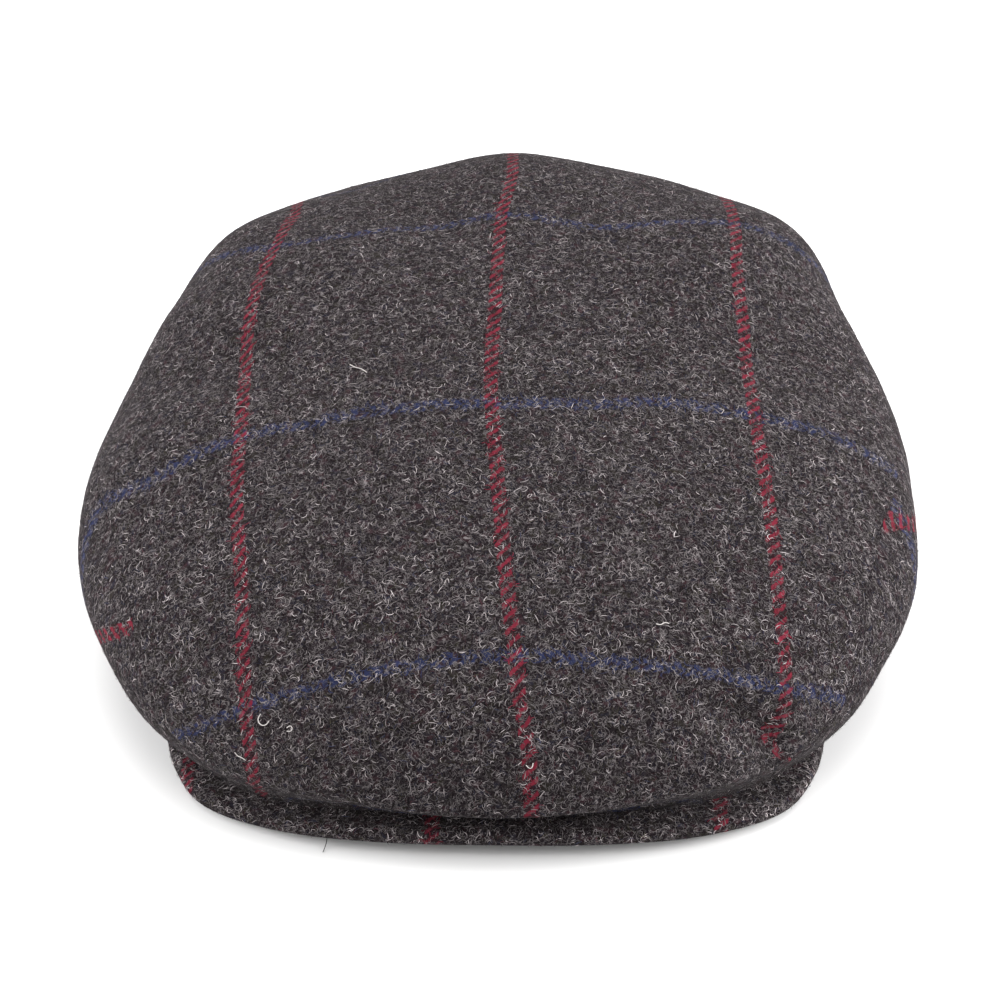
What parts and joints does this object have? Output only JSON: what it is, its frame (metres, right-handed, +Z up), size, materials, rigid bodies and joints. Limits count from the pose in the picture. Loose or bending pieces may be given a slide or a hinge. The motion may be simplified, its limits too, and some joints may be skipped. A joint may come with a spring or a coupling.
{
  "type": "flat cap",
  "caption": "Flat cap of soft tweed, filled out: a long low crown over side panels that meet at the back, and a short stiff peak in front.",
  "frame": {"origin": "middle of the bounding box's base, on the surface that the cap rests on", "axes": "+Z up from the rim to the top, -Y from the cap towards its peak, +X to the right as seen from in front"},
  "size_m": [0.2372, 0.2626, 0.0978],
  "materials": {
    "tweed": "matt brushed wool, charcoal with a thin red and blue check"
  },
  "bodies": {
    "root": {"crown_top": "tweed", "side_panel_left": "tweed", "side_panel_right": "tweed", "peak": "tweed"}
  },
  "joints": []
}
